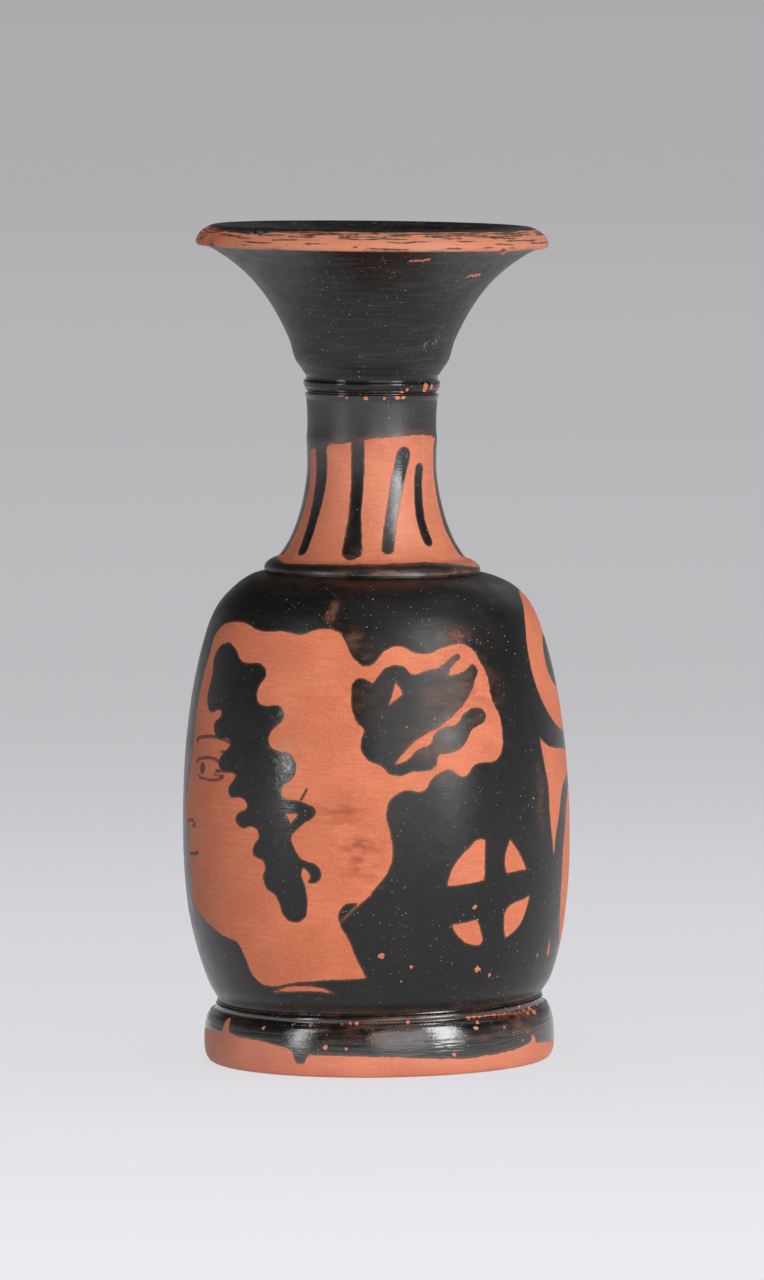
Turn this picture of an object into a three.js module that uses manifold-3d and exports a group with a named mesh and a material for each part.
// Miniature squat lekythos, a small red-figure oil flask of fired clay.
// It is thrown in sections on the wheel, and the sections are luted together with slip:
// foot, body, neck and mouth stand on each other on flat seats, with a locating step at each seat,
// and a pulled strap handle is saddled to the back of the neck and to the shoulder.
// Millimetres, +Z up, origin on the table under the axis, handle towards +Y.

import * as THREE from 'three';
import { mergeVertices } from 'three/addons/utils/BufferGeometryUtils.js';
import Module from 'manifold-3d';

// Heights of the sections, each from its lower seat to its upper one
const FOOT_HEIGHT = 7.9;
const BODY_HEIGHT = 56.1;
const NECK_HEIGHT = 23.2;
const MOUTH_HEIGHT = 21.6;

// Clay and fits
const WALL = 3;
const SLIP = 0.4;
const CLEARANCE = 0.3;

// Foot: a thick disc with a swelling edge, a step under its top and a hollowed underside
const FOOT_RADIUS = 23.2;
const FOOT_WIDEST_HEIGHT = 2.6;
const FOOT_REST_RADIUS = 21.9;
const FOOT_RING_WIDTH = 3;
const FOOT_HOLLOW = 2.2;
const FOOT_STEP_RADIUS = 22.35;
const FOOT_STEP_DROP = 1;
const FOOT_TOP_RADIUS = 21.5;

// Body: a belly nearly as straight as a drum, under a round shoulder
const BODY_BASE_RADIUS = 21.7;
const BODY_BASE_SPREAD = 2.2;
const BODY_BASE_RISE = 4.7;
const BELLY_RADIUS = 25.6;
const BELLY_HEIGHT = 21.7;
const BELLY_LOWER_FULLNESS = 10.8;
const BELLY_UPPER_FULLNESS = 13;
const SHOULDER_RADIUS = 21.5;
const SHOULDER_DROP = 5.8;
const SHOULDER_LEAN = 0.39;
const SHOULDER_LOWER_FULLNESS = 6.1;
const SHOULDER_UPPER_FULLNESS = 3.2;
const SHOULDER_CREST_RUN = 2.6;
const SHOULDER_CREST_FALL = 0.35;
const BODY_TOP_RADIUS = 14.4;
const BODY_FLOOR = 3.5;
const FLOOR_ROUND = 7;
const BOSS_RADIUS = 12;
const BOSS_DEPTH = 1.2;

// Neck: a slender waisted tube on a low collar with a rounded edge
const COLLAR_RADIUS = 14.3;
const COLLAR_HEIGHT = 1.55;
const COLLAR_TOP_RADIUS = 12.6;
const COLLAR_TOP_FALL = 0.6;
const NECK_RADIUS = 8.4;
const NECK_WAIST_HEIGHT = 15.7;
const NECK_WAIST_FULLNESS = 5.5;
const NECK_FLARE_RUN = 2.5;
const NECK_FLARE_RISE = 2.15;
const NECK_TOP_RADIUS = 8.7;
const NECK_BORE_RADIUS = 4.8;
const NECK_BASE_BORE_RADIUS = 6.4;
const SKIRT_WALL = 2;
const SKIRT_DEPTH = 2.4;
const LIP_WALL = 1.5;
const LIP_RISE = 1.6;

// Mouth: a trumpet over a ring, with a slanting lip
const RING_RADIUS = 8.95;
const RING_HEIGHT = 1.4;
const THROAT_RADIUS = 8.6;
const BELL_BASE_RADIUS = 9.7;
const BELL_BASE_HEIGHT = 3.4;
const BELL_BASE_RUN = 2.2;
const BELL_BASE_RISE = 6.7;
const MOUTH_RADIUS = 23.15;
const LIP_TIP_DROP = 2.25;
const LIP_UNDERCUT = 0.6;
const LIP_UNDERSIDE_WIDTH = 0.95;
const FLARE_RUN = 6.1;
const FLARE_FALL = 1.85;
const RIM_RADIUS = 20.2;
const LIP_FACE_FULLNESS = 1.25;
const FUNNEL_RUN = 6.6;
const FUNNEL_FALL = 1;
const THROAT_RUN = 4.4;
const THROAT_RISE = 6.4;

// Handle: an oval strap that springs from the neck and drops to the shoulder
const HANDLE_WIDTH = 8;
const HANDLE_THICKNESS = 3.4;
const HANDLE_TOP_DROP = 4.6;
const HANDLE_STUB = 2.2;
const HANDLE_REACH = 16.6;
const HANDLE_BEND = 6;
const HANDLE_ROOT_RADIUS = 18.8;

// Fineness of the round surfaces
const LATHE_SEGMENTS = 36;
const CURVE_STEPS = 6;
const STRAP_STEPS = 24;
const STRAP_SECTION_STEPS = 12;

// Levels of the seats, stacked from the table up
const footTop = FOOT_HEIGHT;
const bodyBase = footTop + SLIP;
const bodyTop = bodyBase + BODY_HEIGHT;
const neckBase = bodyTop + SLIP;
const neckTop = neckBase + NECK_HEIGHT;
const mouthBase = neckTop + SLIP;
const mouthTop = mouthBase + MOUTH_HEIGHT;

// Radii of the locating steps, each socket one clearance wider than what stands in it
const bossSocketRadius = BOSS_RADIUS + CLEARANCE;
const skirtRadius = NECK_BASE_BORE_RADIUS + SKIRT_WALL;
const bodyOpeningRadius = skirtRadius + CLEARANCE;
const neckLipRadius = NECK_BORE_RADIUS + LIP_WALL;
const mouthSocketRadius = neckLipRadius + CLEARANCE;

const wasm = await Module();
wasm.setup();

const clay = { color: 0xb5643f, roughness: 0.82, metalness: 0 };
const blackGloss = { color: 0x26231f, roughness: 0.34, metalness: 0 };
const slipClay = { color: 0x8a4a30, roughness: 0.9, metalness: 0 };

function piece(name, geometry, finish) {
  const mesh = new THREE.Mesh(geometry, new THREE.MeshStandardMaterial(finish));
  mesh.name = name;
  return mesh;
}

// Turns an outline of radius and height about the axis
function revolve(outline) {
  const geometry = new THREE.LatheGeometry(outline.getPoints(CURVE_STEPS), LATHE_SEGMENTS);
  return geometry.rotateX(Math.PI / 2);
}

// A flat washer of slip between two seats
function seam(innerRadius, outerRadius, level) {
  const outline = new THREE.Path();
  outline.moveTo(innerRadius, level);
  outline.lineTo(outerRadius, level);
  outline.lineTo(outerRadius, level + SLIP);
  outline.lineTo(innerRadius, level + SLIP);
  outline.lineTo(innerRadius, level);
  return revolve(outline);
}

function footGeometry() {
  const stepLevel = footTop - FOOT_STEP_DROP;
  const ringInside = FOOT_REST_RADIUS - FOOT_RING_WIDTH;
  const socketFloor = bodyBase - BOSS_DEPTH - CLEARANCE;
  const outline = new THREE.Path();
  outline.moveTo(0, FOOT_HOLLOW);
  outline.quadraticCurveTo(ringInside - FOOT_HOLLOW, FOOT_HOLLOW, ringInside, 0);
  outline.lineTo(FOOT_REST_RADIUS, 0);
  outline.quadraticCurveTo(FOOT_RADIUS, 0, FOOT_RADIUS, FOOT_WIDEST_HEIGHT);
  outline.quadraticCurveTo(FOOT_RADIUS, stepLevel - FOOT_STEP_DROP, FOOT_STEP_RADIUS, stepLevel);
  outline.quadraticCurveTo(FOOT_TOP_RADIUS, stepLevel, FOOT_TOP_RADIUS, footTop);
  outline.lineTo(bossSocketRadius, footTop);
  outline.lineTo(bossSocketRadius, socketFloor);
  outline.lineTo(0, socketFloor);
  return revolve(outline);
}

// The body's outer curve from its base to the edge of the neck's seat, raised by a lift
function traceBody(outline, lift = 0) {
  const base = bodyBase + lift;
  const belly = base + BELLY_HEIGHT;
  const top = bodyTop + lift;
  const shoulder = top - SHOULDER_DROP;
  outline.bezierCurveTo(
    BODY_BASE_RADIUS + BODY_BASE_SPREAD, base + BODY_BASE_RISE,
    BELLY_RADIUS, belly - BELLY_LOWER_FULLNESS,
    BELLY_RADIUS, belly
  );
  outline.bezierCurveTo(
    BELLY_RADIUS, belly + BELLY_UPPER_FULLNESS,
    SHOULDER_RADIUS + SHOULDER_LEAN * SHOULDER_LOWER_FULLNESS, shoulder - SHOULDER_LOWER_FULLNESS,
    SHOULDER_RADIUS, shoulder
  );
  outline.bezierCurveTo(
    SHOULDER_RADIUS - SHOULDER_LEAN * SHOULDER_UPPER_FULLNESS, shoulder + SHOULDER_UPPER_FULLNESS,
    BODY_TOP_RADIUS + SHOULDER_CREST_RUN, top - SHOULDER_CREST_FALL,
    BODY_TOP_RADIUS, top
  );
}

function bodyGeometry() {
  const belly = bodyBase + BELLY_HEIGHT;
  const floor = bodyBase + BODY_FLOOR;
  const ceiling = bodyTop - WALL;
  const shoulder = bodyTop - SHOULDER_DROP - WALL / 2;
  const insideBelly = BELLY_RADIUS - WALL;
  const insideShoulder = SHOULDER_RADIUS - WALL;
  const insideBase = BODY_BASE_RADIUS - WALL;
  const outline = new THREE.Path();
  outline.moveTo(0, bodyBase - BOSS_DEPTH);
  outline.lineTo(BOSS_RADIUS, bodyBase - BOSS_DEPTH);
  outline.lineTo(BOSS_RADIUS, bodyBase);
  outline.lineTo(BODY_BASE_RADIUS, bodyBase);
  traceBody(outline);
  outline.lineTo(bodyOpeningRadius, bodyTop);
  outline.lineTo(bodyOpeningRadius, ceiling);
  outline.bezierCurveTo(
    BODY_TOP_RADIUS + SHOULDER_CREST_RUN - WALL, ceiling,
    insideShoulder - SHOULDER_LEAN * SHOULDER_UPPER_FULLNESS, shoulder + SHOULDER_UPPER_FULLNESS,
    insideShoulder, shoulder
  );
  outline.bezierCurveTo(
    insideShoulder + SHOULDER_LEAN * SHOULDER_LOWER_FULLNESS, shoulder - SHOULDER_LOWER_FULLNESS,
    insideBelly, belly + BELLY_UPPER_FULLNESS,
    insideBelly, belly
  );
  outline.bezierCurveTo(
    insideBelly, belly - BELLY_LOWER_FULLNESS,
    insideBase + BODY_BASE_SPREAD, floor,
    insideBase - FLOOR_ROUND, floor
  );
  outline.lineTo(0, floor);
  return revolve(outline);
}

// The neck's outer curve from its seat over its collar to its top, grown outwards all round
function traceNeck(outline, grow = 0) {
  const collarTop = neckBase + COLLAR_HEIGHT;
  const waist = neckBase + NECK_WAIST_HEIGHT;
  outline.lineTo(COLLAR_RADIUS + grow, neckBase);
  outline.quadraticCurveTo(
    COLLAR_RADIUS + grow, collarTop - COLLAR_TOP_FALL,
    COLLAR_TOP_RADIUS + grow, collarTop
  );
  outline.bezierCurveTo(
    COLLAR_TOP_RADIUS - NECK_FLARE_RUN + grow, collarTop + NECK_FLARE_RISE,
    NECK_RADIUS + grow, waist - NECK_WAIST_FULLNESS,
    NECK_RADIUS + grow, waist
  );
  outline.quadraticCurveTo(
    NECK_RADIUS + grow, (waist + neckTop) / 2,
    NECK_TOP_RADIUS + grow, neckTop
  );
}

function neckGeometry() {
  const waist = neckBase + NECK_WAIST_HEIGHT;
  const skirtFoot = neckBase - SKIRT_DEPTH;
  const lipTop = neckTop + LIP_RISE;
  const outline = new THREE.Path();
  outline.moveTo(skirtRadius, skirtFoot);
  outline.lineTo(skirtRadius, neckBase);
  traceNeck(outline);
  outline.lineTo(neckLipRadius, neckTop);
  outline.lineTo(neckLipRadius, lipTop);
  outline.lineTo(NECK_BORE_RADIUS, lipTop);
  outline.lineTo(NECK_BORE_RADIUS, waist);
  outline.bezierCurveTo(
    NECK_BORE_RADIUS, waist - NECK_WAIST_FULLNESS,
    NECK_BASE_BORE_RADIUS, neckBase + NECK_WAIST_FULLNESS,
    NECK_BASE_BORE_RADIUS, neckBase
  );
  outline.lineTo(NECK_BASE_BORE_RADIUS, skirtFoot);
  outline.lineTo(skirtRadius, skirtFoot);
  return revolve(outline);
}

function mouthGeometry() {
  const ringTop = mouthBase + RING_HEIGHT;
  const bellBase = mouthBase + BELL_BASE_HEIGHT;
  const socketTop = neckTop + LIP_RISE + CLEARANCE;
  const tip = mouthTop - LIP_TIP_DROP;
  const underside = tip - LIP_UNDERCUT;
  const undersideRadius = MOUTH_RADIUS - LIP_UNDERSIDE_WIDTH;
  const outline = new THREE.Path();
  outline.moveTo(mouthSocketRadius, mouthBase);
  outline.lineTo(THROAT_RADIUS, mouthBase);
  outline.quadraticCurveTo(RING_RADIUS, mouthBase, RING_RADIUS, mouthBase + RING_HEIGHT / 2);
  outline.quadraticCurveTo(RING_RADIUS, ringTop, THROAT_RADIUS, ringTop);
  outline.quadraticCurveTo(THROAT_RADIUS, (ringTop + bellBase) / 2, BELL_BASE_RADIUS, bellBase);
  outline.bezierCurveTo(
    BELL_BASE_RADIUS + BELL_BASE_RUN, bellBase + BELL_BASE_RISE,
    undersideRadius - FLARE_RUN, underside - FLARE_FALL,
    undersideRadius, underside
  );
  outline.quadraticCurveTo(MOUTH_RADIUS, underside, MOUTH_RADIUS, tip);
  outline.bezierCurveTo(
    MOUTH_RADIUS, tip + LIP_FACE_FULLNESS,
    RIM_RADIUS + LIP_FACE_FULLNESS, mouthTop,
    RIM_RADIUS, mouthTop
  );
  outline.bezierCurveTo(
    RIM_RADIUS - FUNNEL_RUN, mouthTop - FUNNEL_FALL,
    NECK_BORE_RADIUS + THROAT_RUN, socketTop + THROAT_RISE,
    NECK_BORE_RADIUS, socketTop
  );
  outline.lineTo(mouthSocketRadius, socketTop);
  outline.lineTo(mouthSocketRadius, mouthBase);
  return revolve(outline);
}

// A closed geometry as a solid that can be joined and cut
function toSolid(geometry) {
  const bare = geometry.clone();
  bare.deleteAttribute('normal');
  bare.deleteAttribute('uv');
  const merged = mergeVertices(bare, 1e-4);
  const index = merged.index.array;
  const triangles = [];
  for (let i = 0; i < index.length; i += 3) {
    const [a, b, c] = index.slice(i, i + 3);
    if (a !== b && b !== c && c !== a) {
      triangles.push(a, b, c);
    }
  }
  const vertProperties = new Float32Array(merged.attributes.position.array);
  const triVerts = new Uint32Array(triangles);
  return new wasm.Manifold(new wasm.Mesh({ numProp: 3, vertProperties, triVerts }));
}

function toGeometry(solid) {
  const mesh = solid.getMesh();
  const geometry = new THREE.BufferGeometry();
  geometry.setAttribute('position', new THREE.BufferAttribute(mesh.vertProperties, 3));
  geometry.setIndex(new THREE.BufferAttribute(mesh.triVerts, 1));
  geometry.computeVertexNormals();
  return geometry;
}

// The neck without its bore, grown by a distance: what the strap's upper end is saddled to
function neckSaddle(grow) {
  const outline = new THREE.Path();
  outline.moveTo(0, neckBase);
  traceNeck(outline, grow);
  outline.lineTo(0, neckTop);
  return toSolid(revolve(outline));
}

// The body without its hollow, raised by a distance: what the strap's root is saddled to
function shoulderSaddle(lift) {
  const outline = new THREE.Path();
  outline.moveTo(0, bodyBase);
  outline.lineTo(BODY_BASE_RADIUS, bodyBase);
  traceBody(outline, lift);
  outline.lineTo(0, bodyTop + lift);
  return toSolid(revolve(outline));
}

// The whole strap, from inside the neck's wall to under the shoulder
function strapSolid() {
  const spring = neckTop - HANDLE_TOP_DROP;
  const stubEnd = NECK_RADIUS + HANDLE_STUB;
  const bend = spring - HANDLE_BEND;
  const rootEnd = bodyTop - SHOULDER_DROP;
  const half = (bend - rootEnd) / 2;
  const at = (y, z) => new THREE.Vector3(0, y, z);
  const route = new THREE.CurvePath();
  route.add(new THREE.LineCurve3(at((NECK_BORE_RADIUS + NECK_RADIUS) / 2, spring), at(stubEnd, spring)));
  route.add(new THREE.CubicBezierCurve3(
    at(stubEnd, spring),
    at((stubEnd + HANDLE_REACH) / 2, spring),
    at(HANDLE_REACH, (spring + bend) / 2),
    at(HANDLE_REACH, bend)
  ));
  route.add(new THREE.CubicBezierCurve3(
    at(HANDLE_REACH, bend),
    at(HANDLE_REACH, bend - half),
    at(HANDLE_ROOT_RADIUS, rootEnd + half),
    at(HANDLE_ROOT_RADIUS, rootEnd)
  ));
  const section = new THREE.Shape();
  section.absellipse(0, 0, HANDLE_THICKNESS / 2, HANDLE_WIDTH / 2, 0, 2 * Math.PI);
  return toSolid(new THREE.ExtrudeGeometry(section, {
    steps: STRAP_STEPS,
    curveSegments: STRAP_SECTION_STEPS,
    extrudePath: route
  }));
}

// The slip fills the middle of the space between strap and wall, a clearance from each
function handlePieces() {
  const strap = strapSolid();
  const slipOutside = CLEARANCE + SLIP;
  const strapEnd = slipOutside + CLEARANCE;
  const handle = strap.subtract(neckSaddle(strapEnd)).subtract(shoulderSaddle(strapEnd));
  const topSlip = strap.intersect(neckSaddle(slipOutside)).subtract(neckSaddle(CLEARANCE));
  const rootSlip = strap.intersect(shoulderSaddle(slipOutside)).subtract(shoulderSaddle(CLEARANCE));
  return [
    piece('handle', toGeometry(handle), blackGloss),
    piece('handle_top_slip', toGeometry(topSlip), slipClay),
    piece('handle_root_slip', toGeometry(rootSlip), slipClay)
  ];
}

const lekythos = new THREE.Group();
lekythos.name = 'miniature_lekythos';
lekythos.add(
  piece('foot', footGeometry(), clay),
  piece('foot_slip', seam(bossSocketRadius, FOOT_TOP_RADIUS - SLIP, footTop), slipClay),
  piece('body', bodyGeometry(), blackGloss),
  piece('neck_slip', seam(bodyOpeningRadius, COLLAR_RADIUS - SLIP, bodyTop), slipClay),
  piece('neck', neckGeometry(), clay),
  piece('mouth_slip', seam(mouthSocketRadius, NECK_TOP_RADIUS - SLIP, neckTop), slipClay),
  piece('mouth', mouthGeometry(), blackGloss),
  ...handlePieces()
);

export default lekythos;
